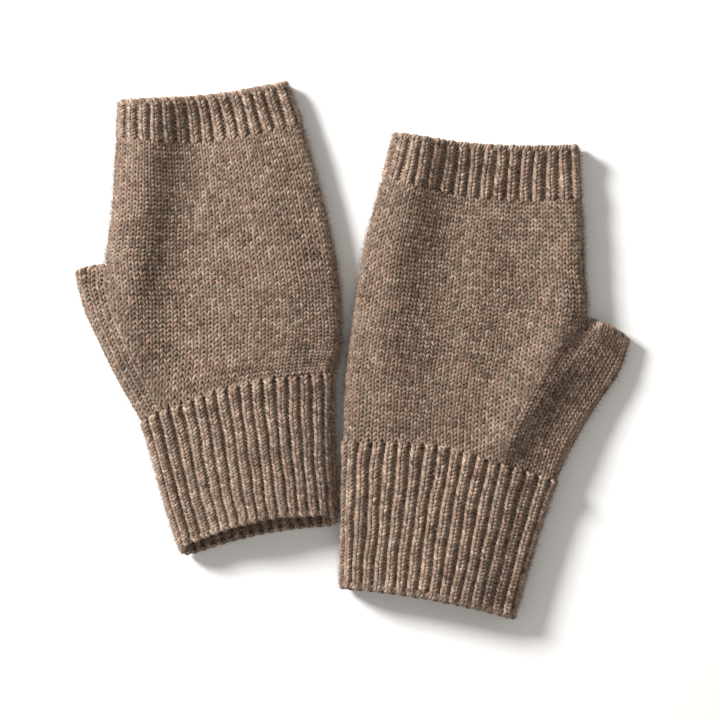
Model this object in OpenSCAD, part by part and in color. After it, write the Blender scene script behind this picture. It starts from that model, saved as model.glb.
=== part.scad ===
// A pair of fingerless knitted gloves lying flat, palm width about 90 mm.
// Each glove is a jersey hand tube with a thumb gusset, a ribbed finger band and a long ribbed cuff.
// Units are millimetres. +Y runs towards the fingers, +Z is up, the gloves rest on z = 0.

/* [Fabric] */
// Thickness of the jersey fabric
jersey_wall = 2.0; // [1.4:0.1:2.4]
// Thickness of the ribbed fabric
rib_wall = 2.6; // [2.0:0.1:3.0]
// Depth of the trench between two ribs
rib_depth = 0.7; // [0.3:0.1:1.0]
// Radius of the soft fold along each side
fold_r = 4.0; // [3.4:0.1:4.6]
// Distance over which the top rises from the fold to full height
crown_run = 18; // [12:1:24]
// Radius of the fold along the open half thumb
thumb_fold_r = 5.0; // [4.4:0.1:5.6]
// The same rise for the rounder half thumb
thumb_run = 6; // [4:1:12]

/* [Heights] */
// Height of the hand over its middle
hand_height = 13; // [11:0.5:15]
// Height of the finger opening
finger_height = 12; // [11:0.5:15]
// Height of the gaping mouth of the cuff
mouth_height = 15.5; // [13:0.5:18]
// How far the upper layer of the cuff mouth sits back from the lower one
mouth_setback = 3.2; // [0:0.2:5]

/* [Ribs] */
// Ribs around the finger band
band_ribs = 32; // [24:1:36]
// Ribs around the wrist cuff
cuff_ribs = 36; // [28:1:40]

/* [Edges] */
// Width of the cast-off and cast-on edges
edge_width = 2.4; // [1.6:0.2:3.2]
// Width of the course that joins the hand to the cuff
join_width = 1.6; // [1.2:0.2:2.4]
// Radius of a woven-in yarn end
yarn_r = 0.7; // [0.5:0.1:0.9]
// Length of a woven-in yarn end
yarn_length = 28; // [15:1:40]
// Clearance between parts that move against each other
body_gap = 0.6; // [0.4:0.1:1.0]
// Slit between the foot of the thumb gusset and the wrist course, so the thumb can lift
thumb_gap = 2.2; // [1.8:0.1:3.0]

/* [Hidden] */
// Sampling of the fabric surface
top_steps = 11;
fold_steps = 6;
steps = 3;
edge_sides = 6;

// Direction along each glove, towards the fingers, and along each thumb
left_up = [-0.13, 0.99];
right_up = [0.13, 0.99];
left_thumb_up = [-0.35, 0.94];
right_thumb_up = [0.47, 0.88];

// Rows are [plain side x, y, thumb side x, y, bow, room beyond the thumb side, height, setback];
// thumb rows add their own fold radius and rise.
// The hand runs from the finger band to the cuff. From the crotch row down, the thumb side is
// the line where the gusset grows out of the hand.
left_join = [-7.2, -9.4, -84.4, -29, 4.5, 0, hand_height, 0];
left_split = 0.87;
left_crotch_row = 4;
left_rows = [
    [-20, 90, -94.4, 84.2, -5, 0, finger_height, 0],
    [-16.2, 76, -95.2, 71.4, -4, 0, hand_height, 0],
    [-11.6, 59, -96, 56, -2.5, 0, hand_height, 0],
    [-8, 43, -97.6, 42.6, -1, 0, hand_height, 0],
    [-5.8, 31, -98.4, 33.8, 0, 0, hand_height, 0],
    [-4.6, 19, -94.6, 18, 1, 13, hand_height, 0],
    [-4.4, 8, -89.6, 5, 2, 12, hand_height, 0],
    [-5, -1.5, -82.8, -9, 2.6, 12, hand_height, 0],
    sub_row(left_join, left_up, 0, left_split, 11, join_width / 2 + 0.05)
];
left_thumb_rows = [
    [-111.2, 30.8, 0.8],
    [-107.6, 15.6, 0.5],
    [-101.6, 3.2, 0.5],
    [-94.8, -10.8, 0.4],
    thumb_end(left_join, left_up, left_split)
];
left_finger_edge = [-26, 106.4, -93.6, 98.6, -2.4, 0, finger_height, 0];
left_mouth = [-5.6, -70.4, -68.4, -83.4, 3, 0, mouth_height, mouth_setback];
left_cuff_rows = [
    shift_row(left_join, left_up, -join_width / 2 - body_gap),
    [-7.4, -29, -79.2, -46.4, 4.2, 0, hand_height + 0.5, 0],
    [-6.8, -50, -74.2, -64.8, 3.6, 0, hand_height + 1, mouth_setback / 3],
    shift_row(left_mouth, left_up, edge_width)
];

right_join = [-4, -36.2, 81.2, -52.6, 4.4, 0, hand_height, 0];
right_split = 0.737;
right_crotch_row = 3;
right_rows = [
    [11.6, 68.6, 91.2, 59.8, -4.4, 0, finger_height, 0],
    [7.6, 54, 92.2, 46, -3, 0, hand_height, 0],
    [4, 39.8, 92.4, 32, -1.5, 0, hand_height, 0],
    [1.2, 21.8, 93, 13, 0, 0, hand_height, 0],
    [-0.4, 10, 82, 1.6, 1, 24, hand_height, 0],
    [-2, -2, 73.6, -11.2, 1.5, 25, hand_height, 0],
    [-3.2, -14, 66.6, -23.4, 2, 25, hand_height, 0],
    [-3.7, -25, 61.6, -34.4, 2.2, 25, hand_height, 0],
    sub_row(right_join, right_up, 0, right_split, 24, join_width / 2 + 0.05)
];
right_thumb_rows = [
    [110.8, 3.6, 1.2],
    [106.4, -9.6, 1],
    [98.4, -21.2, 0.8],
    [91.2, -32.6, 0.6],
    [85.8, -42.4, 0.5],
    thumb_end(right_join, right_up, right_split)
];
right_finger_edge = [16, 85.8, 90.2, 80.8, -2.8, 0, finger_height, 0];
right_mouth = [-5.4, -95.6, 64, -109, 3, 0, mouth_height, mouth_setback];
right_cuff_rows = [
    shift_row(right_join, right_up, -join_width / 2 - body_gap),
    [-4.6, -55, 76, -68, 4, 0, hand_height + 0.5, 0],
    [-5, -76, 70.2, -87, 3.4, 0, hand_height + 1, mouth_setback / 3],
    shift_row(right_mouth, right_up, edge_width)
];

// ---- helper functions ----

function smooth(t) = let (c = max(0, min(1, t))) c * c * (3 - 2 * c);

function cr(a, b, c, d, t) =
    0.5 * (2 * b + (c - a) * t + (2 * a - 5 * b + 4 * c - d) * t * t
        + (3 * b - a - 3 * c + d) * t * t * t);

// Smooth curve through the rows, n steps to a row
function spline(p, n) = [
    for (i = [0 : len(p) - 2])
        for (k = [0 : (i == len(p) - 2 ? n : n - 1)])
            cr(p[max(i - 1, 0)], p[i], p[i + 1], p[min(i + 2, len(p) - 1)], k / n)
];

function shift_row(r, up, d) = [
    r[0] + up[0] * d, r[1] + up[1] * d, r[2] + up[0] * d, r[3] + up[1] * d,
    r[4], r[5], r[6], r[7], row_fold(r), row_run(r)
];

// Point at fraction f of a bowed row
function row_xy(r, up, f, lift) = [
    r[0] + (r[2] - r[0]) * f + up[0] * (4 * r[4] * f * (1 - f) + lift),
    r[1] + (r[3] - r[1]) * f + up[1] * (4 * r[4] * f * (1 - f) + lift)
];

// The part of a bowed row between fractions a and b, moved d towards the fingers
function sub_row(r, up, a, b, room, d) = let (
    p = row_xy(r, up, a, d),
    q = row_xy(r, up, b, d)
) [p[0], p[1], q[0], q[1], r[4] * (b - a) * (b - a), room, r[6], 0];

function thumb_end(r, up, split) = let (
    p = row_xy(r, up, 1, join_width / 2 + thumb_gap)
) [p[0], p[1], r[4] * (1 - split) * (1 - split)];

// Point d from p on the way to q
function towards(p, q, d) = p + (q - p) * d / norm(q - p);

function row_width(r) = norm([r[2] - r[0], r[3] - r[1]]);

function row_fold(r) = len(r) > 8 ? r[8] : fold_r;
function row_run(r) = len(r) > 8 ? r[9] : crown_run;

// Height of the top at x across a row of width w
function crown(x, w, room, h, fr, run) =
    2 * fr + (h - 2 * fr) * smooth((min(x, w - x + room) - fr) / run);

// Cross-section of a flattened tube, starting at the thumb side of the top and running over
// the plain fold to the thumb side of the bottom; the thumb-side fold comes last.
function section(r, w, off, open) = let (
    fr = row_fold(r),
    run = row_run(r),
    xb = open ? w : w - fr,
    za = crown(fr, w, r[5], r[6], fr, run) / 2,
    zb = crown(w - fr, w, r[5], r[6], fr, run) / 2
) concat(
    [for (k = [0 : top_steps]) let (x = xb + (fr - xb) * k / top_steps)
        [x, crown(x, w, r[5], r[6], fr, run) - off]],
    [for (k = [1 : fold_steps - 1]) let (a = 90 + 180 * k / fold_steps)
        [fr + (fr - off) * cos(a), za + (za - off) * sin(a)]],
    [for (k = [0 : top_steps]) [fr + (xb - fr) * k / top_steps, off]],
    [for (k = [1 : fold_steps - 1]) let (a = 270 + 180 * k / fold_steps)
        [w - fr + (fr - off) * cos(a), zb + (zb - off) * sin(a)]]
);

// Point of the same tube at fraction s of its way round, off below its surface
function around(s, w, h, off) = let (
    flat = w - 2 * fold_r,
    arc = 3.14159 * fold_r,
    u = s * 2 * (flat + arc)
)
    u < flat ? [w - fold_r - u, crown(w - fold_r - u, w, 0, h, fold_r, crown_run) - off]
    : u < flat + arc ? let (a = 90 + 180 * (u - flat) / arc)
        [fold_r + (fold_r - off) * cos(a), fold_r + (fold_r - off) * sin(a)]
    : u < 2 * flat + arc ? [fold_r + u - flat - arc, off]
    : let (a = 270 + 180 * (u - 2 * flat - arc) / arc)
        [w - fold_r + (fold_r - off) * cos(a), fold_r + (fold_r - off) * sin(a)];

// Puts a section point [across, up] of a row into space
function place(r, up, w, p) = let (
    f = p[0] / w,
    q = row_xy(r, up, f, r[7] * p[1] / r[6])
) [q[0], q[1], p[1]];

function quad(a, b, c, d, flip) = flip ? [[a, b, c], [a, c, d]] : [[c, b, a], [d, c, a]];

function flat_list(v) = [for (a = v) for (b = a) b];

// Closed grid of rings, joined end to end in both directions
module ring_grid(loops, flip) {
    n = len(loops);
    m = len(loops[0]);
    faces = flat_list([
        for (i = [0 : n - 1]) for (j = [0 : m - 1]) let (i2 = (i + 1) % n, j2 = (j + 1) % m)
            quad(i * m + j, i * m + j2, i2 * m + j2, i2 * m + j, flip)
    ]);
    polyhedron(points = flat_list(loops), faces = faces, convexity = 6);
}

// Jersey tube whose thumb side is left open from row `first_open` on
module jersey_tube(rows, up, inset, first_open, flip) {
    n = len(rows) - 1;
    m = 2 * (top_steps + fold_steps);
    kept = 2 * top_steps + fold_steps;
    rings = flat_list([
        for (off = [0, jersey_wall]) [
            for (i = [0 : n]) let (
                r = rows[i],
                w = row_width(r),
                sec = section(r, w - inset, off, i > first_open)
            ) [for (p = sec) place(r, up, w, p)]
        ]
    ]);
    inner = (n + 1) * m;
    skins = flat_list([
        for (i = [0 : n - 1]) for (j = [0 : m - 1])
            if (j < kept || i < first_open) let (
                j2 = (j + 1) % m,
                a = i * m + j,
                b = i * m + j2,
                c = a + m,
                d = b + m
            ) concat(quad(a, b, d, c, flip), quad(a + inner, b + inner, d + inner, c + inner, !flip))
    ]);
    ends = flat_list([
        for (j = [0 : m - 1]) let (j2 = (j + 1) % m) concat(
            quad(j, j2, j2 + inner, j + inner, !flip),
            j < kept
                ? quad(n * m + j, n * m + j2, n * m + j2 + inner, n * m + j + inner, flip)
                : quad(first_open * m + j, first_open * m + j2, first_open * m + j2 + inner,
                    first_open * m + j + inner, flip)
        )
    ]);
    lips = flat_list([
        for (i = [first_open : n - 1]) let (a = i * m, b = i * m + kept) concat(
            quad(a, a + m, a + m + inner, a + inner, flip),
            quad(b, b + m, b + m + inner, b + inner, !flip)
        )
    ]);
    polyhedron(points = flat_list(rings), faces = concat(skins, ends, lips), convexity = 8);
}

// Ribbed tube through the given rows
module rib_tube(rows, up, ribs, flip) {
    m = 4 * ribs;
    n = len(rows) - 1;
    function ring(r, inner) = let (w = row_width(r)) [
        for (j = [0 : m - 1]) place(r, up, w, around(j / m, w, r[6],
            inner ? rib_wall : (j % 4 < 2 ? 0 : rib_depth)))
    ];
    ring_grid(concat(
        [for (i = [0 : n]) ring(rows[i], false)],
        [for (i = [n : -1 : 0]) ring(rows[i], true)]
    ), flip);
}

// Rounded edge of the given width, centred on a row
module edge_bead(r, up, wall, width, flip) {
    m = 2 * (top_steps + fold_steps);
    w = row_width(r);
    half = wall / 2 + 0.1;
    ring_grid([
        for (e = [0 : edge_sides - 1]) let (
            a = 360 * e / edge_sides,
            off = half - half * sin(a),
            s = shift_row(r, up, 0.5 * width * cos(a))
        ) [for (p = section(r, w, off, false)) place(s, up, w, p)]
    ], flip);
}

// Yarn end lying along the inside of the lower layer
module yarn_end(x, y, up, wall) {
    translate([x, y, wall + yarn_r + 0.05])
        rotate([0, 0, atan2(up[1], up[0])])
            rotate([0, 90, 0]) {
                cylinder(r = yarn_r, h = yarn_length, $fn = 24);
            }
}

// ---- rows worked out from the tables ----

left_hand = spline(left_rows, steps);
left_open = left_crotch_row * steps;
left_gusset = gusset_rows(left_hand, spline(left_thumb_rows, steps), left_open, left_thumb_up);
right_hand = spline(right_rows, steps);
right_open = right_crotch_row * steps;
right_gusset = gusset_rows(right_hand, spline(right_thumb_rows, steps), right_open,
    right_thumb_up);

// Gusset rows run from the thumb opening down; the outer fold is their plain side
function gusset_rows(hand, outer, first, thumb_up) = let (last = len(outer) - 1) [
    for (k = [0 : last]) let (
        h = hand[first + k],
        seam = [h[2], h[3]],
        above = [hand[first + k - 1][2], hand[first + k - 1][3]],
        d = k == 0 ? -edge_width : 0,
        g = (k == last ? towards(seam, above, thumb_gap) : seam) + d * thumb_up,
        tx = outer[k][0] + thumb_up[0] * d,
        ty = outer[k][1] + thumb_up[1] * d,
        t = min(1, k / 5)
    ) [tx, ty, g[0], g[1], outer[k][2], h[5], h[6], 0,
        thumb_fold_r + (fold_r - thumb_fold_r) * t, thumb_run + (crown_run - thumb_run) * t]
];

function opening_row(hand, outer, first, thumb_up) = let (
    h = hand[first],
    d = -edge_width / 2
) [
    outer[0][0] + thumb_up[0] * d, outer[0][1] + thumb_up[1] * d,
    h[2] + thumb_up[0] * d, h[3] + thumb_up[1] * d, outer[0][2], 0, h[6], 0,
    thumb_fold_r, thumb_run
];

// ---- left glove ----

module left_hand_tube() {
    color("#a8927f")
        jersey_tube(left_hand, left_up, body_gap / 2, left_open, true);
}

module left_thumb_gusset() {
    color("#9d8876")
        jersey_tube(left_gusset, left_up, body_gap / 2, 1, false);
}

module left_finger_rib_band() {
    color("#a48e7b")
        rib_tube([
            shift_row(left_finger_edge, left_up, -edge_width - 0.05),
            shift_row(left_rows[0], left_up, 0.05)
        ], left_up, band_ribs, true);
}

module left_finger_cast_off_edge() {
    color("#97826f")
        edge_bead(shift_row(left_finger_edge, left_up, -edge_width / 2), left_up,
            rib_wall, edge_width, true);
}

module left_thumb_cast_off_edge() {
    color("#97826f")
        edge_bead(opening_row(left_hand, left_thumb_rows, left_open, left_thumb_up),
            left_thumb_up, jersey_wall, edge_width - 0.1, false);
}

module left_wrist_join_course() {
    color("#8f7b69")
        edge_bead(left_join, left_up, jersey_wall, join_width, true);
}

module left_wrist_rib_cuff() {
    color("#a48e7b")
        rib_tube(left_cuff_rows, left_up, cuff_ribs, true);
}

module left_cuff_cast_on_edge() {
    color("#97826f")
        edge_bead(shift_row(left_mouth, left_up, edge_width / 2 - 0.05), left_up,
            rib_wall, edge_width, true);
}

module left_finger_yarn_end() {
    color("#8f7b69")
        yarn_end(-24, 48, left_up, jersey_wall);
}

module left_cuff_yarn_end() {
    color("#8f7b69")
        yarn_end(-17, -62, left_up, rib_wall);
}

// ---- right glove ----

module right_hand_tube() {
    color("#a8927f")
        jersey_tube(right_hand, right_up, body_gap / 2, right_open, false);
}

module right_thumb_gusset() {
    color("#9d8876")
        jersey_tube(right_gusset, right_up, body_gap / 2, 1, true);
}

module right_finger_rib_band() {
    color("#a48e7b")
        rib_tube([
            shift_row(right_finger_edge, right_up, -edge_width - 0.05),
            shift_row(right_rows[0], right_up, 0.05)
        ], right_up, band_ribs, false);
}

module right_finger_cast_off_edge() {
    color("#97826f")
        edge_bead(shift_row(right_finger_edge, right_up, -edge_width / 2), right_up,
            rib_wall, edge_width, false);
}

module right_thumb_cast_off_edge() {
    color("#97826f")
        edge_bead(opening_row(right_hand, right_thumb_rows, right_open, right_thumb_up),
            right_thumb_up, jersey_wall, edge_width - 0.1, true);
}

module right_wrist_join_course() {
    color("#8f7b69")
        edge_bead(right_join, right_up, jersey_wall, join_width, false);
}

module right_wrist_rib_cuff() {
    color("#a48e7b")
        rib_tube(right_cuff_rows, right_up, cuff_ribs, false);
}

module right_cuff_cast_on_edge() {
    color("#97826f")
        edge_bead(shift_row(right_mouth, right_up, edge_width / 2 - 0.05), right_up,
            rib_wall, edge_width, false);
}

module right_finger_yarn_end() {
    color("#8f7b69")
        yarn_end(16, 30, right_up, jersey_wall);
}

module right_cuff_yarn_end() {
    color("#8f7b69")
        yarn_end(5, -86, right_up, rib_wall);
}

left_hand_tube();
left_thumb_gusset();
left_finger_rib_band();
left_finger_cast_off_edge();
left_thumb_cast_off_edge();
left_wrist_join_course();
left_wrist_rib_cuff();
left_cuff_cast_on_edge();
left_finger_yarn_end();
left_cuff_yarn_end();
right_hand_tube();
right_thumb_gusset();
right_finger_rib_band();
right_finger_cast_off_edge();
right_thumb_cast_off_edge();
right_wrist_join_course();
right_wrist_rib_cuff();
right_cuff_cast_on_edge();
right_finger_yarn_end();
right_cuff_yarn_end();
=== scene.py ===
import itertools
import math

import bpy
import numpy as np
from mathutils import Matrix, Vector


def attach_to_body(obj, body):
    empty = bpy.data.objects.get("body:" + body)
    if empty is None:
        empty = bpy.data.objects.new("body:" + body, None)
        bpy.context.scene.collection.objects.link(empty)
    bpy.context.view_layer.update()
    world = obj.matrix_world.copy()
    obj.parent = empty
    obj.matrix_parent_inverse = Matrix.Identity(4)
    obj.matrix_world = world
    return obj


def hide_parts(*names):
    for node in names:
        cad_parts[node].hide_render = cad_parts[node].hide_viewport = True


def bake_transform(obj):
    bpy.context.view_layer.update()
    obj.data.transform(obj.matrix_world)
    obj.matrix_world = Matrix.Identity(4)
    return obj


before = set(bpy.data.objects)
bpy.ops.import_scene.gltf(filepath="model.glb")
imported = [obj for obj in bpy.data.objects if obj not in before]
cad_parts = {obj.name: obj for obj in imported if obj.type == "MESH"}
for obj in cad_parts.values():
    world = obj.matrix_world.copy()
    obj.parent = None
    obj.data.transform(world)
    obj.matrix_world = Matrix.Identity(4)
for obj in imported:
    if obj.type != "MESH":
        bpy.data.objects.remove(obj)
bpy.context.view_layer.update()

MM = 0.001
rng = np.random.default_rng(11)
seeds = itertools.count(10, 10)

# ---- dimensions in mm, close to the ones in part.scad ----

# Heights of the lying glove at its finger edge, wrist join and cuff mouth
FINGER_H, JOIN_H, MOUTH_H = 8.6, 13.4, 15.0
# Radius of the side folds as a share of the height, and how far in from them it still rises
FOLD_SHARE, RUN = 0.42, 18.0
# The fold at the thumb tip, and how far in the gusset rises at the tip and at its foot
THUMB_FOLD, TIP_RUN, FOOT_RUN = 2.8, 12, 22
# Room for the gusset at which the thumb side of the hand is fully open
ROOM_OPEN = 8
# Rows worked out between two given ones
STEPS, BAND_STEPS = 10, 8

# Ribs and wales counted all the way round, and the length of a course
BAND_RIBS, CUFF_RIBS, HAND_WALES = 32, 36, 72
GUSSET_WALES = {"left": 10, "right": 20}
COURSE, RIB_COURSE = 1.75, 1.5
YARN_R, FIBRE_R = 0.6, 0.028
# A loop of jersey: its swing sideways in wales, its climb in courses, how far its legs stand
# out, and how far it wanders off its wale and its course
LOOP_SWING, LOOP_CLIMB, LOOP_OUT, LOOP_DRIFT, LOOP_SWAY = 0.31, 0.82, 0.55, 0.10, 0.22
# The same for rib, how far its wales crowd onto the crests, and how far the crests stand out
RIB_SWING, RIB_CLIMB, RIB_OUT, RIB_DRIFT, RIB_SWAY = 0.28, 0.88, 0.55, 0.16, 0.3
RIB_CROWD, RIB_FACE = 0.12, 0.85
# Waves of light and dark, then of tint, along a yarn: (strength, length)
LIGHT_WAVES, TINT_WAVES = [(0.62, 1.1), (0.4, 3.1), (0.22, 12)], [(0.6, 5), (0.6, 1.7)]
# Shortest and longest fibre, the share that is longer still, and the share at each fold
FIBRE_SPAN, LONG_FIBRES, AT_FOLD = (0.7, 2.8), 0.04, 0.16
# Points along the yarn in each wale, in the fabric and in its edges
PER_WALE, EDGE_PER_WALE = 10, 12
# How far inside the outer surface the yarn centres and the inner sheet lie
JERSEY_IN, RIB_IN = 1.14, 1.5
JERSEY_SHEET, RIB_SHEET = 1.6, 2.0

# Rows give the plain side (x, y), the thumb side (x, y) and the bow between them. A hand row
# adds the room left for the gusset, and its height. A thumb row is (x, y, bow). The crotch is
# a hand row, the split is where along the join the gusset starts, and the setback is how far
# the upper layer of the cuff mouth sits back from the lower one.
GLOVES = {
    "left": dict(
        up=(-0.13, 0.99), split=0.87, crotch=4, foot_room=11, setback=6,
        join=[-7.2, -9.4, -84.4, -29, 4.5],
        hand=[
            [-20, 90, -94.4, 84.2, -5, 0, 8.6],
            [-16.2, 76, -95.2, 71.4, -4, 0, 8.8],
            [-11.6, 59, -96, 56, -2.5, 0, 9.2],
            [-8, 43, -97.6, 42.6, -1, 0, 9.6],
            [-5.8, 31, -98.4, 33.8, 0, 0, 10],
            [-4.6, 19, -94.6, 18, 1, 13, 10.6],
            [-4.4, 8, -89.6, 5, 2, 12, 11.4],
            [-5, -1.5, -82.8, -9, 2.6, 12, 12.2],
        ],
        thumb=[[-111.2, 30.8, 0.8], [-107.6, 15.6, 0.5], [-101.6, 3.2, 0.5], [-94.8, -10.8, 0.4]],
        finger=[-26, 106.4, -93.6, 98.6, -2.4],
        cuff=[[-7.4, -29, -79.2, -46.4, 4.2], [-6.8, -50, -74.2, -64.8, 3.6]],
        mouth=[-5.6, -70.4, -68.4, -83.4, 3],
    ),
    "right": dict(
        up=(0.13, 0.99), split=0.737, crotch=3, foot_room=24, setback=1.8,
        join=[-4, -36.2, 81.2, -52.6, 4.4],
        hand=[
            [11.6, 68.6, 91.2, 59.8, -4.4, 0, 8.6],
            [7.6, 54, 92.2, 46, -3, 0, 8.8],
            [4, 39.8, 92.4, 32, -1.5, 0, 9.2],
            [1.2, 21.8, 93, 13, 0, 0, 9.8],
            [-0.4, 10, 82, 1.6, 1, 24, 10.4],
            [-2, -2, 73.6, -11.2, 1.5, 25, 11.2],
            [-3.2, -14, 66.6, -23.4, 2, 25, 12],
            [-3.7, -25, 61.6, -34.4, 2.2, 25, 12.8],
        ],
        thumb=[[110.8, 3.6, 1.2], [106.4, -9.6, 1], [98.4, -21.2, 0.8], [91.2, -32.6, 0.6],
               [85.8, -42.4, 0.5]],
        finger=[16, 85.8, 90.2, 80.8, -2.8],
        cuff=[[-4.6, -55, 76, -68, 4], [-5, -76, 70.2, -87, 3.4]],
        mouth=[-5.4, -95.6, 64.4, -108, 2],
    ),
}


def unit(v):
    v = np.asarray(v, float)
    return v / np.linalg.norm(v)


def smooth(t):
    t = np.clip(t, 0, 1)
    return t * t * (3 - 2 * t)


def spline(rows, n):
    """Catmull-Rom curve through the rows, n steps to a row."""
    p = np.asarray(rows, float)
    last = len(p) - 1
    out = []
    for i in range(last):
        a, b, c, d = p[max(i - 1, 0)], p[i], p[i + 1], p[min(i + 2, last)]
        for k in range(n + (i == last - 1)):
            t = k / n
            out.append(0.5 * (2 * b + (c - a) * t + (2 * a - 5 * b + 4 * c - d) * t * t
                              + (3 * b - a - 3 * c + d) * t ** 3))
    return np.array(out)


def row(r, h, room=0.0, setback=0.0):
    """x, y of the fold side, x, y of the thumb side, bow, room, height, setback, fold, run."""
    return [*r[:5], room, h, setback, FOLD_SHARE * h, RUN]


def on_row(r, up, f):
    """The place a share f along a bowed row."""
    bow = 4 * r[4] * f * (1 - f)
    return [r[0] + (r[2] - r[0]) * f + up[0] * bow, r[1] + (r[3] - r[1]) * f + up[1] * bow]


def softened(room):
    """Room for the gusset along the rows, blurred so that the crotch has no hard corner."""
    reach, spread = 15, 8.0
    weight = np.exp(-((np.arange(-reach, reach + 1) / spread) ** 2))
    return np.convolve(np.pad(room, reach, mode="edge"), weight / weight.sum(), mode="valid")


class Cloth:
    """A knitted tube or strip, as rows running from the finger end to the cuff end.

    Places are (a, v): a counts wales from the plain fold, above 0 on the upper layer and
    below 0 on the lower one; v is a row number. Lengths are in mm.
    """

    def __init__(self, rows, up, wales, relief, crotch=None, straight=0.0):
        rows, self.up = np.asarray(rows, float), unit(up)
        self.relief, self.straight = relief, straight
        self.crotch = len(rows) if crotch is None else crotch
        ax, ay, bx, by, bow, room, _, _, fold, _ = rows.T
        self.rows = np.column_stack([rows, softened(np.maximum(room, 0))])
        width, quarter = np.hypot(bx - ax, by - ay), fold * math.pi / 2
        shut = 1 - smooth(room / ROOM_OPEN)
        self.end = shut * (width - 2 * fold + 2 * quarter) + (1 - shut) * (width - fold + quarter)
        self.pitch = self.end / (wales / 2)
        if crotch is not None:
            self.pitch[crotch:] = self.pitch[crotch]
        middle = (rows[:, :2] + rows[:, 2:4]) / 2 + self.up * bow[:, None]
        steps = np.linalg.norm(np.diff(middle, axis=0), axis=1)
        self.run = np.concatenate([[0], np.cumsum(steps)])
        self.index = np.arange(len(rows), dtype=float)
        self.phase = rng.uniform(0, 2 * math.pi, 8)
        centre, halfway = self.end[len(rows) // 2] / 2, len(rows) / 2
        top = self._normal(np.array([centre]), np.array([halfway]), np.array([True]))
        self.sign = 1.0 if top[0, 2] > 0 else -1.0

    def v_at(self, length):
        """Row number at a length from the finger end, also a little past either end."""
        run = self.run
        return (np.interp(length, run, self.index)
                + np.minimum(length - run[0], 0) / (run[1] - run[0])
                + np.maximum(length - run[-1], 0) / (run[-1] - run[-2]))

    def drift(self, a, length, reach):
        """Small sideways wander of the wales, none at the ends of the course."""
        p = self.phase
        wave = (0.5 * np.sin(a * 0.31 + length * 0.12 + p[0])
                + 0.4 * np.sin(a * 0.83 - length * 0.17 + p[1])
                + 0.35 * np.sin(a * 0.19 + length * 0.33 + p[2])
                + 0.25 * np.sin(a * 1.7 + length * 0.41 + p[3]))
        return wave * (1 - np.minimum(np.abs(a) / reach, 1) ** 6)

    def sway(self, a, length):
        """Small wander of the courses, up and down."""
        p = self.phase
        return (0.6 * np.sin(a * 0.27 + length * 0.09 + p[4])
                + 0.4 * np.sin(a * 0.71 + length * 0.23 + p[5]))

    def limit(self, v):
        """Number of wales from the fold to the thumb side at row v."""
        return np.interp(v, self.index, self.end / self.pitch)

    def _crown(self, x, width, room, height, fold, run):
        """Height of the upper layer, x mm from the plain side."""
        t = np.clip((np.minimum(x, width - x + room) - fold) / run, 0, 1)
        rise = self.straight * t + (1 - self.straight) * smooth(t)
        return 2 * fold + (height - 2 * fold) * rise

    def _point(self, u, v, upper):
        """The surface u mm around from the plain fold, at row v.

        The thumb side is a second fold, or is open where the row leaves room for the gusset.
        """
        i = np.clip(np.floor(v).astype(int), 0, len(self.rows) - 2)
        part = (v - i)[:, None]
        r = self.rows[i] * (1 - part) + self.rows[i + 1] * part
        ax, ay, bx, by, bow, room, height, setback, fold, run, soft_room = r.T
        width, quarter = np.hypot(bx - ax, by - ay), fold * math.pi / 2
        shape = (width, soft_room, height, fold, run)
        side = np.where(upper, 1, -1)

        turn, in_fold = np.clip(u / fold, 0, math.pi / 2), u < quarter
        flat = fold + np.maximum(u - quarter, 0)
        x_open = np.where(in_fold, fold * (1 - np.cos(turn)), flat)
        near = self._crown(fold, *shape) / 2
        layer = np.where(upper, self._crown(x_open, *shape), 0)
        z_open = np.where(in_fold, near * (1 + side * np.sin(turn)), layer)

        left = width - 2 * fold + 2 * quarter - u
        turn, in_fold = np.clip(left / fold, 0, math.pi / 2), left < quarter
        far = self._crown(width - fold, *shape) / 2
        x_shut = np.where(in_fold, width - fold + fold * np.cos(turn), x_open)
        z_shut = np.where(in_fold, far * (1 + side * np.sin(turn)), z_open)

        shut = 1 - smooth(room / ROOM_OPEN)
        x = shut * x_shut + (1 - shut) * x_open
        z = shut * z_shut + (1 - shut) * z_open
        across = x / width
        lift = 4 * bow * across * (1 - across) + setback * z / height
        px = ax + (bx - ax) * across + self.up[0] * lift
        py = ay + (by - ay) * across + self.up[1] * lift
        z = z + np.where(upper, self.relief(px, py) * smooth((z - 3) / 4), 0)
        return np.stack([px, py, z], 1)

    def _normal(self, u, v, upper):
        du, dv = 0.25, 0.12
        a = self._point(u + du, v, upper) - self._point(np.maximum(u - du, 0), v, upper)
        b = self._point(u, v + dv, upper) - self._point(u, v - dv, upper)
        n = np.cross(a, b) * np.where(upper, 1, -1)[:, None]
        return n / np.maximum(np.linalg.norm(n, axis=1), 1e-9)[:, None]

    def place(self, a, v, off):
        """Points and outward normals at wale a, row v, off mm outside the surface."""
        upper = a >= 0
        u = np.abs(a) * np.interp(v, self.index, self.pitch)
        n = self._normal(u, v, upper) * self.sign
        return self._point(u, v, upper) + n * off[:, None], n


def relief_of(*groups):
    """Soft dips and swells of the lying fabric: each is a half width and (x, y, height) points."""
    def field(x, y):
        z = np.zeros_like(x)
        for group in groups:
            for width, points in group:
                best, height = np.full_like(x, 1e9), np.zeros_like(x)
                for (x0, y0, h0), (x1, y1, h1) in zip(points, points[1:]):
                    d = np.array([x1 - x0, y1 - y0], float)
                    t = np.clip(((x - x0) * d[0] + (y - y0) * d[1]) / (d @ d), 0, 1)
                    gap = np.hypot(x - x0 - t * d[0], y - y0 - t * d[1])
                    closer = gap < best
                    height = np.where(closer, h0 + (h1 - h0) * t, height)
                    best = np.where(closer, gap, best)
                z = z + height * np.exp(-((best / width) ** 2))
        return z
    return field


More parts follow.
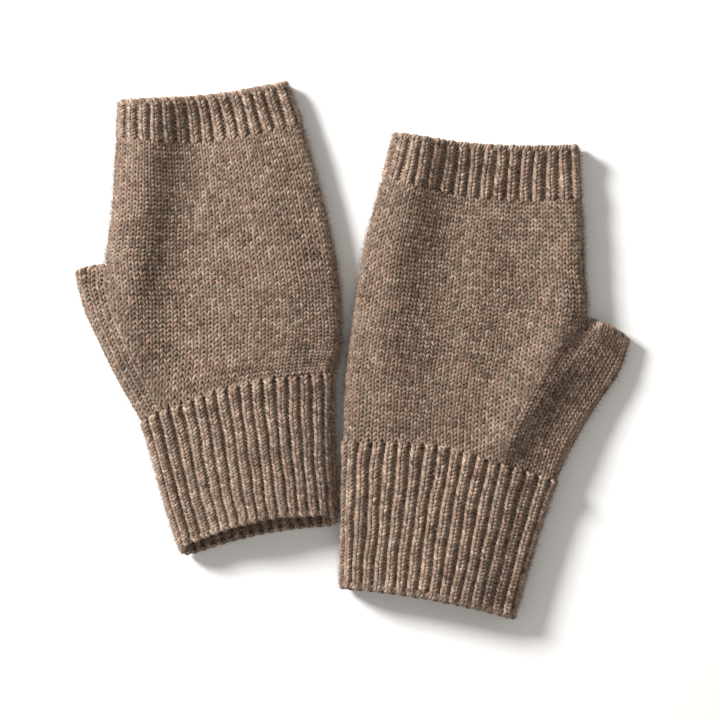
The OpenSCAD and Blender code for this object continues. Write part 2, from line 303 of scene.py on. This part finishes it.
# Ridges, hollows and swells of the upper layer
RELIEF = {
    "left": [
        (11.5, [(-80, 106, 4.6), (-84, 76, 5.8), (-87, 46, 5.8), (-91, 22, 5.2), (-87, 2, 2.8)]),
        (5, [(-97, 104, -1.8), (-98, 60, -2.0), (-99, 42, -1.0)]),
        (5, [(-104, 34, -4.2), (-100, 24, -3.6), (-95, 12, -1.2)]),
        (11, [(-60, 100, -1.0), (-66, 70, -1.6), (-70, 30, -1.6), (-66, 4, -1.0)]),
        (22, [(-26, 80, 1.8), (-24, 10, 1.8)]),
        (5, [(-7, 44, -0.3), (-4, 22, -1.1), (-4, -6, -1.1)]),
        (9, [(-94, 100, 1.2), (-62, 102, 2.4), (-26, 106, 0.8)]),
    ],
    "right": [
        (10.5, [(28, 90, 4.6), (20, 62, 5.4), (14, 34, 4.8), (10, 6, 3.2), (8, -26, 2.0)]),
        (5, [(14, 86, -1.8), (8, 60, -2.0), (2, 34, -1.6), (-2, 6, -0.8)]),
        (10, [(46, 82, -1.0), (40, 40, -1.8), (36, 6, -1.4), (32, -22, -0.8)]),
        (12, [(66, 60, -1.0), (62, 10, -1.4), (52, -20, -1.0)]),
        (8.5, [(87, 62, 2.4), (84, 14, 3.2), (77, -6, 4.0), (66, -26, 4.0), (60, -38, 3.2)]),
        (9, [(18, 86, 1.8), (50, 84, 3.0), (88, 82, 2.6)]),
    ],
}
# The hollow between the hand and the gusset
TUCK = {
    "left": [(6, [(-99, 31, -1.2), (-95, 20, -1.0)])],
    "right": [(6, [(94, 14, -2.6), (86, 2, -1.6)])],
}
# The lines where one kind of knit meets the next
SEAMS = {
    "left": [(4, [(-84, -26, -0.6), (-46, -12.5, -0.6), (-8, -7, -0.6)]),
             (3, [(-94, 86, -0.5), (-22, 93, -0.5)])],
    "right": [(4, [(82, -50, -0.6), (38, -37.5, -0.6), (-2, -34, -0.6)]),
              (3, [(92, 61, -0.5), (12, 70, -0.5)])],
}
CUFF_RELIEF = {
    "left": [(8, [(-66, -30, -0.9), (-60, -76, -0.9)]), (9, [(-40, -20, 0.7), (-44, -72, 0.7)]),
             (6, [(-9, -16, -1.4), (-7, -66, -1.8)]), (5, [(-78, -40, 0.9), (-70, -76, 0.9)]),
             (4, [(-84, -31, 0.9), (-46, -18, 0.9), (-8, -12, 0.9)])],
    "right": [(8, [(20, -45, -0.8), (16, -92, -0.8)]), (9, [(40, -48, 0.7), (36, -98, 0.7)]),
              (7, [(72, -54, -1.6), (60, -104, -2.0)]), (5, [(0, -45, 0.8), (-1, -88, 0.8)]),
              (4, [(82, -55, 0.9), (38, -42.5, 0.9), (-2, -39, 0.9)])],
}


# ---- meshes ----

def new_mesh(name, verts, faces, uvs, melange):
    """Mesh object from numpy arrays; verts in mm, faces as vertex indices."""
    mesh = bpy.data.meshes.new(name)
    mesh.vertices.add(len(verts))
    mesh.vertices.foreach_set("co", (verts * MM).astype(np.float32).ravel())
    mesh.loops.add(faces.size)
    mesh.loops.foreach_set("vertex_index", faces.astype(np.int32).ravel())
    mesh.polygons.add(len(faces))
    corners = faces.shape[1]
    mesh.polygons.foreach_set("loop_start", np.arange(0, faces.size, corners, dtype=np.int32))
    mesh.update(calc_edges=True)
    mesh.polygons.foreach_set("use_smooth", np.ones(len(faces), bool))
    layer = mesh.uv_layers.new(name="OFBake")
    layer.data.foreach_set("uv", uvs.astype(np.float32).ravel())
    attr = mesh.attributes.new("melange", "FLOAT_COLOR", "POINT")
    colour = np.concatenate([melange, np.ones((len(melange), 1))], 1)
    attr.data.foreach_set("color", colour.astype(np.float32).ravel())
    mesh.validate()
    obj = bpy.data.objects.new(name, mesh)
    bpy.context.collection.objects.link(obj)
    return obj


def value_noise(x, seed):
    """Smooth 1D noise with unit cells, from -1 to 1."""
    gen = np.random.default_rng(seed)
    table = gen.uniform(-1, 1, 4096)
    i = np.floor(x).astype(int)
    f = smooth(x - i)
    return table[i % 4096] * (1 - f) + table[(i + 1) % 4096] * f


def yarn_waves(length, waves, seed):
    """Sum of noises along a yarn."""
    return sum(strength * value_noise(length / wave, seed + k)
               for k, (strength, wave) in enumerate(waves))


class Yarns:
    """Collects yarn strands into one mesh."""

    SIDES = 5

    def __init__(self):
        self.parts = []

    def add(self, centre, normal, radius, seed, tone=0.0):
        n = len(centre)
        centre[:, 2] = np.maximum(centre[:, 2], radius)  # the underside lies flat
        tangent = np.gradient(centre, axis=0)
        tangent /= np.maximum(np.linalg.norm(tangent, axis=1), 1e-9)[:, None]
        normal = normal - np.sum(normal * tangent, 1)[:, None] * tangent
        normal /= np.maximum(np.linalg.norm(normal, axis=1), 1e-9)[:, None]
        side = np.cross(tangent, normal)
        ang = np.arange(self.SIDES) * 2 * math.pi / self.SIDES
        ring = (np.cos(ang)[None, :, None] * normal[:, None, :]
                + np.sin(ang)[None, :, None] * side[:, None, :])
        verts = centre[:, None, :] + ring * np.broadcast_to(radius, (n,))[:, None, None]
        length = np.concatenate([[0], np.cumsum(np.linalg.norm(np.diff(centre, axis=0), axis=1))])
        light = yarn_waves(length, LIGHT_WAVES, seed) + tone
        hue = yarn_waves(length, TINT_WAVES, seed + 3)
        self.parts.append((verts.reshape(-1, 3), n, np.repeat(light, self.SIDES),
                           np.repeat(hue, self.SIDES)))

    def build(self, name):
        s = self.SIDES
        verts, quads, uvs, light, hue = [], [], [], [], []
        base, strip = 0, 1.0 / len(self.parts)
        for k, (v, n, tone, tint) in enumerate(self.parts):
            i, j = np.meshgrid(np.arange(n - 1), np.arange(s), indexing="ij")
            i, j = i.ravel(), j.ravel()
            j2 = (j + 1) % s
            quads.append(base + np.stack([i * s + j, i * s + j2, (i + 1) * s + j2,
                                          (i + 1) * s + j], 1))
            u0, u1 = i / (n - 1), (i + 1) / (n - 1)
            w0, w1 = (k + j / s * 0.98) * strip, (k + (j + 1) / s * 0.98) * strip
            uvs.append(np.stack([u0, w0, u0, w1, u1, w1, u1, w0], 1).reshape(-1, 2))
            verts.append(v)
            light.append(tone)
            hue.append(tint)
            base += len(v)
        light, hue = np.concatenate(light), np.concatenate(hue)
        colour = np.stack([0.5 + 0.35 * light, 0.5 + 0.35 * hue, np.full(len(light), 0.5)], 1)
        return new_mesh(name, np.concatenate(verts), np.concatenate(quads),
                        np.concatenate(uvs), np.clip(colour, 0, 1))


# ---- stitches ----

def loops(reach, seed):
    """One course: its wales, how far each point is leg of a loop, and how far head or foot.

    Then come the random changes sideways, along the wale, in thickness and in height.
    """
    t = np.linspace(-reach, reach, int(2 * reach * PER_WALE))
    return (t, -np.cos(4 * math.pi * t), np.cos(2 * math.pi * t),
            0.05 * value_noise(t * 1.3, seed + 5), 1 + 0.08 * value_noise(t * 1.1, seed + 6),
            1 + 0.09 * value_noise(t * 2.1, seed + 7), 0.1 * value_noise(t * 0.9, seed + 8))


def beneath(a, end):
    """1 on the lower layer, fading to 0 at the folds."""
    return smooth(-a / 1.5) * smooth((end + a) / 1.5)


def jersey(cloth, courses, names, edge_lift=0.0, overlap=0.0):
    """Plain knit courses at the given lengths, in equal shares, one mesh for each name.

    Courses below the crotch run on by the overlap, under the gusset.
    """
    made = []
    course = courses[1] - courses[0]
    for name, share in zip(names, np.array_split(courses, len(names))):
        yarns = Yarns()
        for middle in share:
            v_middle = cloth.v_at(middle)
            end = float(cloth.limit(v_middle)) + overlap * (v_middle > cloth.crotch)
            seed = next(seeds)
            t, legs, down, wobble, jump, plump, rise = loops(end, seed)
            a = t + LOOP_SWING * np.sin(4 * math.pi * t) + wobble
            a = np.clip(a + LOOP_DRIFT * cloth.drift(a, middle, end), -end, end)
            climb = LOOP_CLIMB * down * jump + LOOP_SWAY * cloth.sway(a, middle)
            off = -JERSEY_IN - 0.3 * beneath(a, end) + LOOP_OUT * (legs + 0.35 * down) + rise
            off = off + edge_lift * smooth((np.abs(t) - end + 1.6) / 1.6)
            centre, normal = cloth.place(a, cloth.v_at(middle + climb * course), off)
            yarns.add(centre, normal, YARN_R * plump * (1 + 0.1 * legs), seed)
        made.append(yarns.build(name))
    return made


def rib_wave(a):
    """1 on the crest of a rib, -1 at the bottom of the trench."""
    return np.tanh(1.6 * np.cos(math.pi * (a - 0.5))) / math.tanh(1.6)


def rib(cloth, courses, names, tuck, puff=0.0):
    """1x1 rib courses: every other wale stands out, the ones between sink in.

    The lower layer is drawn inward by the tuck, to lie on the table. The first courses swell
    by the puff, where the ribs spring from the jersey.
    """
    made = []
    course = courses[1] - courses[0]
    for name, share in zip(names, np.array_split(courses, len(names))):
        yarns = Yarns()
        for middle in share:
            end = float(cloth.limit(cloth.v_at(middle)))
            seed = next(seeds)
            t, legs, down, wobble, jump, plump, rise = loops(end, seed)
            a = t + RIB_SWING * np.sin(4 * math.pi * t) + wobble
            face = rib_wave(a)
            a = (a + RIB_CROWD * np.sin(math.pi * (a - 0.5))
                 + RIB_DRIFT * cloth.drift(a, middle, end))
            climb = RIB_CLIMB * down * jump + RIB_SWAY * cloth.sway(a, middle)
            low = beneath(a, end)
            swell = puff * smooth(1 - (middle - courses[0]) / 5) * (1 - low)
            bulge = RIB_FACE + swell + RIB_OUT * legs + 0.2 * down
            off = -RIB_IN - tuck * low + face * bulge + rise
            v = cloth.v_at(middle + climb * course)
            centre, normal = cloth.place(np.clip(a, -end, end), v, off)
            thick = plump * (1 + 0.13 * legs) * (1 + 0.06 * face) * (1 + 0.2 * swell)
            yarns.add(centre, normal, YARN_R * thick, seed)
        made.append(yarns.build(name))
    return made


def edge_chain(cloth, at, name, lump, depth, width=0.9, outward=-1, tone=0.1):
    """Cast-off or cast-on chain: two strands that wind along an edge, one turn to a wale."""
    yarns = Yarns()
    end = float(cloth.limit(cloth.v_at(at)))
    t = np.linspace(-end, end, int(2 * end * EDGE_PER_WALE))
    crest = rib_wave(t)
    for phase in (0, math.pi):
        seed = next(seeds)
        turn = 2 * math.pi * t + phase + 0.5 * value_noise(t * 0.7, seed + 5)
        a = t + 0.12 * value_noise(t * 0.8, seed + 6)
        reach = width * (1 + 0.15 * value_noise(t * 1.1, seed + 7))
        v = cloth.v_at(at + reach * np.cos(turn) + outward * lump * (0.5 + 0.5 * crest))
        off = -depth + 0.55 * np.sin(turn) + lump * 0.8 * crest
        centre, normal = cloth.place(np.clip(a, -end, end), v, off)
        thick = 1.05 + 0.12 * value_noise(t * 1.7, seed + 8)
        yarns.add(centre, normal, YARN_R * thick, seed, tone)
    return yarns.build(name)


def inner_sheet(cloth, first, last, depth, name):
    """Sheet through the inner part of the yarn, against daylight between the stitches; its dark
    wool is painted shade for the deep gaps and the inside of the glove.
    """
    along, across = 60, 90
    verts = []
    for length in np.linspace(first, last, along):
        v = cloth.v_at(length)
        reach = float(cloth.limit(v))
        a = np.linspace(-reach, reach, across)
        verts.append(cloth.place(a, np.full(across, v), np.full(across, -depth))[0])
    i, j = np.meshgrid(np.arange(along - 1), np.arange(across - 1), indexing="ij")
    corner = (i * across + j).ravel()
    quads = np.stack([corner, corner + 1, corner + 1 + across, corner + across], 1)
    uv = np.stack([(j / across).ravel(), (i / along).ravel()], 1)
    cell = np.array([[0, 0], [1 / across, 0], [1 / across, 1 / along], [0, 1 / along]])
    uvs = (uv[:, None, :] + cell[None]).reshape(-1, 2)
    return new_mesh(name, np.concatenate(verts), quads, uvs, np.full((along * across, 3), 0.5))


def fuzz(cloth, first, last, count, name, open_side=False):
    """Loose fibres that stand off the yarn: thin closed spindles, bent twice.

    Most lie on the upper layer and the folds, with extra ones along each folded side.
    """
    gen = np.random.default_rng(next(seeds))
    v = cloth.v_at(gen.uniform(first, last, count))
    end = cloth.limit(v)
    a = gen.uniform(-0.3, 1, count) * end
    kind = gen.random(count)
    a = np.where(kind < AT_FOLD, gen.normal(0.4, 0.9, count), a)
    if not open_side:
        a = np.where(kind > 1 - AT_FOLD, end - np.abs(gen.normal(0, 0.9, count)), a)
    root, normal = cloth.place(np.clip(a, -end, end), v, gen.uniform(-0.6, 0.0, count))

    def aim(base, bend):
        d = base + bend * gen.normal(0, 1, (count, 3))
        return d / np.linalg.norm(d, axis=1)[:, None]

    span = gen.uniform(*FIBRE_SPAN, count)[:, None]
    span = span * (1 + 1.2 * (gen.random(count) < LONG_FIBRES)[:, None])
    first_way = aim(normal, 0.7)
    second_way = aim(first_way - 0.3 * normal, 0.45)
    third_way = aim(second_way - 0.4 * normal, 0.5)
    knee = root + first_way * span * 0.35
    bend = knee + second_way * span * 0.35
    tip = bend + third_way * span * 0.4
    lowest = np.min([p[:, 2] for p in (root, knee, bend, tip)], axis=0)
    root, knee, bend, tip, way = (p[lowest > 0.1] for p in (root, knee, bend, tip, second_way))
    side = np.cross(way, np.array([0.31, 0.52, 0.79]))
    side /= np.linalg.norm(side, axis=1)[:, None]
    other = np.cross(way, side)
    angle = np.arange(3) * 2 * math.pi / 3
    ring = FIBRE_R * (np.cos(angle)[None, :, None] * side[:, None]
                      + np.sin(angle)[None, :, None] * other[:, None])
    verts = np.concatenate([root[:, None], knee[:, None] + ring, bend[:, None] + ring,
                            tip[:, None]], 1)

    n = len(root)
    tris = []
    for j in range(3):
        k = (j + 1) % 3
        tris += [[0, 1 + k, 1 + j], [1 + j, 1 + k, 4 + k], [1 + j, 4 + k, 4 + j], [7, 4 + j, 4 + k]]
    tris = (np.array(tris)[None] + 8 * np.arange(n)[:, None, None]).reshape(-1, 3)
    cells = 100
    spot = np.stack([np.arange(n) % cells, np.arange(n) // cells], 1) / cells
    corners = np.array([[0, 0], [0.008, 0], [0, 0.008]])
    uvs = np.repeat(spot, 3 * 12, axis=0) + np.tile(corners, (n * 12, 1))
    tone = np.clip(0.62 + 0.12 * gen.normal(0, 1, (n, 1)), 0, 1)
    shade = np.concatenate([tone, np.full((n, 2), 0.5)], 1)
    return new_mesh(name, verts.reshape(-1, 3), tris, uvs, np.repeat(shade, 8, axis=0))


# ---- materials ----

PINK, GREEN = (1.10, 0.96, 0.935), (0.94, 1.0, 0.965)
# Noise cells to a metre
FLECKS, PATCHES, TINTS, NAP = 2300, 120, 700, 3200


def wool(name, dark, mid, light):
    """Heathered wool: lighter and darker fibre along the yarn, with pinkish and greenish flecks.

    The melange attribute holds the yarn's own lightness in red and its tint in green.
    """
    mat = bpy.data.materials.new(name)
    mat.use_nodes = True
    nt = mat.node_tree
    nt.nodes.clear()
    out = nt.nodes.new("ShaderNodeOutputMaterial")
    bsdf = nt.nodes.new("ShaderNodeBsdfPrincipled")
    nt.links.new(bsdf.outputs["BSDF"], out.inputs["Surface"])
    coords = nt.nodes.new("ShaderNodeTexCoord")
    attr = nt.nodes.new("ShaderNodeAttribute")
    attr.attribute_name = "melange"
    split = nt.nodes.new("ShaderNodeSeparateColor")
    nt.links.new(attr.outputs["Color"], split.inputs["Color"])

    def noise(scale, detail, rough=0.6):
        n = nt.nodes.new("ShaderNodeTexNoise")
        n.inputs["Scale"].default_value = scale
        n.inputs["Detail"].default_value = detail
        n.inputs["Roughness"].default_value = rough
        nt.links.new(coords.outputs["Object"], n.inputs["Vector"])
        return n.outputs["Fac"]

    def math_node(op, *values):
        m = nt.nodes.new("ShaderNodeMath")
        m.operation = op
        for socket, value in zip(m.inputs, values):
            if isinstance(value, (int, float)):
                socket.default_value = value
            else:
                nt.links.new(value, socket)
        return m.outputs[0]

    def swing(value, gain):  # a noise turned into a change up and down
        return math_node("MULTIPLY_ADD", value, gain, -0.5 * gain)

    def ramp(value, start, low, middle, stop, high):
        node = nt.nodes.new("ShaderNodeValToRGB")
        ends = node.color_ramp.elements
        ends[0].position, ends[0].color = start, (*low, 1)
        ends[1].position, ends[1].color = stop, (*high, 1)
        ends.new(0.5).color = (*middle, 1)
        nt.links.new(value, node.inputs["Fac"])
        return node.outputs["Color"]

    flecks, patches = swing(noise(FLECKS, 2.0, 0.7), 0.7), swing(noise(PATCHES, 3.0), 0.3)
    tone = math_node("ADD", split.outputs["Red"], math_node("ADD", flecks, patches))
    hue = math_node("ADD", split.outputs["Green"], swing(noise(TINTS, 1.0), 1.0))
    mix = nt.nodes.new("ShaderNodeMix")
    mix.data_type = "RGBA"
    mix.blend_type = "MULTIPLY"
    mix.inputs["Factor"].default_value = 1.0
    nt.links.new(ramp(tone, 0.18, dark, mid, 0.82, light), mix.inputs["A"])
    nt.links.new(ramp(hue, 0.25, GREEN, (1, 1, 1), 0.78, PINK), mix.inputs["B"])
    nt.links.new(mix.outputs["Result"], bsdf.inputs["Base Color"])
    bump = nt.nodes.new("ShaderNodeBump")
    bump.inputs["Strength"].default_value = 0.5
    bump.inputs["Distance"].default_value = 0.0003
    nt.links.new(noise(NAP, 2.0, 0.75), bump.inputs["Height"])
    nt.links.new(bump.outputs["Normal"], bsdf.inputs["Normal"])
    bsdf.inputs["Roughness"].default_value = 0.95
    bsdf.inputs["Specular IOR Level"].default_value = 0.15
    bsdf.inputs["Sheen Weight"].default_value = 0.25
    bsdf.inputs["Sheen Roughness"].default_value = 0.5
    return mat


jersey_wool = wool("heathered_jersey", (0.09, 0.06, 0.042), (0.222, 0.155, 0.113),
                   (0.395, 0.30, 0.235))
rib_wool = wool("heathered_rib", (0.095, 0.064, 0.045), (0.262, 0.186, 0.138),
                (0.49, 0.378, 0.30))
# Painted shade: a dark copy of the wool for the inner sheets, standing in for the shade between the
# stitches and inside the glove
painted_shade_wool = wool("painted_shade_inner_wool", (0.05, 0.035, 0.025), (0.085, 0.06, 0.044),
                  (0.13, 0.094, 0.07))
WOOL = {"jersey": jersey_wool, "rib": rib_wool, "edge": rib_wool}


def dress(obj, slot, material=None):
    obj.data.materials.append(material or WOOL[slot])
    return obj


# ---- the two gloves ----

def courses_of(cloth, first, last, pitch):
    """Evenly spaced course middles between two lengths."""
    count = max(2, round((last - first) / pitch))
    step = (last - first) / count
    return first + step * (np.arange(count) + 0.5)


def gusset_rows(g, hand):
    """Rows from the thumb opening down to the cuff; the plain side is the outer one.

    The other side follows the edge of the hand, from the crotch down.
    """
    foot = [*on_row(g["join"], g["up"], 1), g["join"][4] * (1 - g["split"]) ** 2]
    rows = []
    for k, (x, y, bow) in enumerate(spline(g["thumb"] + [foot], STEPS)):
        _, _, edge_x, edge_y, _, room, height = hand[g["crotch"] * STEPS + k][:7]
        down = k / (len(g["thumb"]) * STEPS)
        fold = THUMB_FOLD + (FOLD_SHARE * JOIN_H - THUMB_FOLD) * down
        run = TIP_RUN + (FOOT_RUN - TIP_RUN) * down
        rows.append([x, y, edge_x, edge_y, bow, max(room, 0), height, 0, fold, run])
    return rows


def cloths_of(side):
    """The hand, gusset, finger band and cuff of one glove."""
    g = GLOVES[side]
    up, join, setback = g["up"], g["join"], g["setback"]
    last = [*on_row(join, up, 0), *on_row(join, up, g["split"]), join[4] * g["split"] ** 2]
    hand_rows = [row(r, r[6], r[5]) for r in g["hand"]] + [row(last, JOIN_H, g["foot_room"])]
    hand_rows = spline(hand_rows, STEPS)
    hand = Cloth(hand_rows, up, HAND_WALES, relief_of(RELIEF[side], SEAMS[side]),
                 crotch=g["crotch"] * STEPS)
    gusset = Cloth(gusset_rows(g, hand_rows), up, GUSSET_WALES[side],
                   relief_of(RELIEF[side], SEAMS[side], TUCK[side]),
                   straight=0.8 if side == "right" else 0.0)
    band_rows = [row(g["finger"], FINGER_H), row(g["hand"][0], FINGER_H)]
    band = Cloth(spline(band_rows, BAND_STEPS), up, 2 * BAND_RIBS, relief_of(RELIEF[side]))
    upper, lower = g["cuff"]
    cuff_rows = [row(join, JOIN_H), row(upper, JOIN_H + 0.5),
                 row(lower, JOIN_H + 1, setback=setback / 3),
                 row(g["mouth"], MOUTH_H, setback=setback)]
    cuff = Cloth(spline(cuff_rows, STEPS), up, 2 * CUFF_RIBS,
                 relief_of(CUFF_RELIEF[side], SEAMS[side]))
    return hand, gusset, band, cuff


def knit(side, hand, gusset, band, cuff):
    """The yarn of one glove, as pieces of the hand, the thumb and the cuff."""
    tube = jersey(hand, courses_of(hand, 0, hand.run[-1], COURSE),
                  [f"{side}_hand_knit_{k}" for k in (1, 2, 3)], overlap=0.3)
    thumb = jersey(gusset, courses_of(gusset, 1.6, gusset.run[-1], COURSE),
                   [f"{side}_gusset_knit"], edge_lift=0.4 if side == "right" else 0.0)
    thumb_edge = edge_chain(gusset, 1.2, f"{side}_thumb_edge", 0, 1.2, 0.75, tone=-0.1)
    fingers = rib(band, courses_of(band, 1.8, band.run[-1], RIB_COURSE),
                  [f"{side}_finger_band_knit"], 0.5)
    finger_edge = edge_chain(band, 1.3, f"{side}_finger_edge", 0.32, 1.3)
    hem_at = cuff.run[-1] - 1.0
    ribs = rib(cuff, courses_of(cuff, 0.4, hem_at, RIB_COURSE),
               [f"{side}_cuff_knit_{k}" for k in (1, 2)], 0.8, puff=0.6)
    hem = edge_chain(cuff, hem_at, f"{side}_cuff_edge", 0.5, 1.3, 0.85, outward=1)
    for slot, pieces in (("jersey", tube + thumb), ("rib", fingers + ribs),
                         ("edge", [thumb_edge, finger_edge, hem])):
        for piece in pieces:
            dress(piece, slot)
    for piece, node in ((tube[0], "hand_tube"), (tube[2], "wrist_join_course"),
                        (thumb[0], "thumb_gusset"), (thumb_edge, "thumb_cast_off_edge"),
                        (fingers[0], "finger_rib_band"), (finger_edge, "finger_cast_off_edge"),
                        (ribs[0], "wrist_rib_cuff"), (hem, "cuff_cast_on_edge")):
        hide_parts(f"{side}_{node}")
    return tube + fingers + [finger_edge], thumb + [thumb_edge], ribs + [hem]


def build_glove(side):
    hand, gusset, band, cuff = cloths_of(side)
    of_hand, of_thumb, of_cuff = knit(side, hand, gusset, band, cuff)
    hand_end, gusset_end, band_end, cuff_end = (c.run[-1] for c in (hand, gusset, band, cuff))
    # The inner sheets wear the painted-shade wool, darker than the yarn itself
    for cloth, first, last, name, depth, slot, group in (
            (hand, -0.5, hand_end + 0.5, "hand_shade_sheet", JERSEY_SHEET, "jersey", of_hand),
            (band, 0.8, band_end + 0.5, "band_shade_sheet", RIB_SHEET, "rib", of_hand),
            (gusset, 0.6, gusset_end + 0.5, "gusset_shade_sheet", JERSEY_SHEET, "jersey", of_thumb),
            (cuff, -0.5, cuff_end - 0.8, "cuff_shade_sheet", RIB_SHEET, "rib", of_cuff)):
        sheet = inner_sheet(cloth, first, last, depth, f"{side}_{name}")
        group.append(dress(sheet, slot, painted_shade_wool))
    for cloth, first, last, name, count, slot, group, open_side in (
            (hand, 2, hand_end, "hand_fuzz", 14000, "jersey", of_hand, False),
            (band, 0.5, band_end, "band_fuzz", 2400, "rib", of_hand, False),
            (gusset, 1, gusset_end, "gusset_fuzz", 1400, "jersey", of_thumb, True),
            (cuff, 1, cuff_end, "cuff_fuzz", 7500, "rib", of_cuff, False)):
        group.append(dress(fuzz(cloth, first, last, count, f"{side}_{name}", open_side), slot))
    attach(side, of_hand, of_thumb, of_cuff, hand, gusset)


def attach(side, of_hand, of_thumb, of_cuff, hand, gusset):
    """The hand rides its body; the cuff and the thumb pieces get their placement baked into their
    meshes.
    """
    for piece in of_hand:
        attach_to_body(piece, f"{side}_hand")
    for piece in of_cuff:
        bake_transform(piece)

    corner = np.array([*hand.rows[hand.crotch][2:4], 0.0]) * MM
    heel = np.array([*on_row(GLOVES[side]["join"], GLOVES[side]["up"], 1), 0.0]) * MM
    tip = np.array([*gusset.rows[0][:2], 0.0]) * MM
    root = unit(heel - corner)
    out = np.array([root[1], -root[0], 0.0])
    if (tip - corner) @ out < 0:
        out = -out
    for piece in of_thumb:
        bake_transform(piece)


for glove_side in GLOVES:
    build_glove(glove_side)

for node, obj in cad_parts.items():
    if "yarn_end" in node:
        for used in obj.material_slots:
            used.material = jersey_wool

# ---- floor, light, camera ----

# In metres, but for the lamp in watts and the sensor in mm. The field is what the camera sees
# across the floor.
FLOOR_Z = -0.0002
LAMP_PLACE, LAMP_SIZE, LAMP_WATTS = (-0.945, 0.613, 0.611), 0.36, 32
CAM_X, CAM_Y, CAM_HEIGHT, FIELD, SENSOR = 0.0028, -0.0046, 0.95, 0.288, 36

bpy.ops.mesh.primitive_plane_add(size=4, location=(0, 0, FLOOR_Z))
floor = bpy.context.active_object
floor.name = "floor"
floor_mat = bpy.data.materials.new("pale_floor")
floor_mat.use_nodes = True
floor_bsdf = floor_mat.node_tree.nodes["Principled BSDF"]
floor_bsdf.inputs["Base Color"].default_value = (0.93, 0.93, 0.93, 1)
floor_bsdf.inputs["Roughness"].default_value = 0.9
floor_bsdf.inputs["Specular IOR Level"].default_value = 0.1
floor.data.materials.append(floor_mat)

lamp_data = bpy.data.lights.new("key", "AREA")
lamp_data.shape = "DISK"
lamp_data.size = LAMP_SIZE
lamp_data.energy = LAMP_WATTS
lamp_data.color = (1.0, 0.99, 0.975)
lamp = bpy.data.objects.new("key", lamp_data)
lamp.location = LAMP_PLACE
lamp.rotation_mode = "QUATERNION"
lamp.rotation_quaternion = (-Vector(LAMP_PLACE)).to_track_quat("-Z", "Y")
bpy.context.collection.objects.link(lamp)

scene = bpy.context.scene
scene.view_settings.view_transform = "Standard"
world = scene.world or bpy.data.worlds.new("World")
scene.world = world
world.use_nodes = True
world.node_tree.nodes["Background"].inputs["Color"].default_value = (1.0, 0.965, 0.92, 1)
world.node_tree.nodes["Background"].inputs["Strength"].default_value = 0.47

cam_data = bpy.data.cameras.new("camera")
cam_data.sensor_width = SENSOR
cam_data.lens = SENSOR * CAM_HEIGHT / FIELD
camera = bpy.data.objects.new("camera", cam_data)
camera.location = (CAM_X, CAM_Y, CAM_HEIGHT)
bpy.context.collection.objects.link(camera)
scene.camera = camera
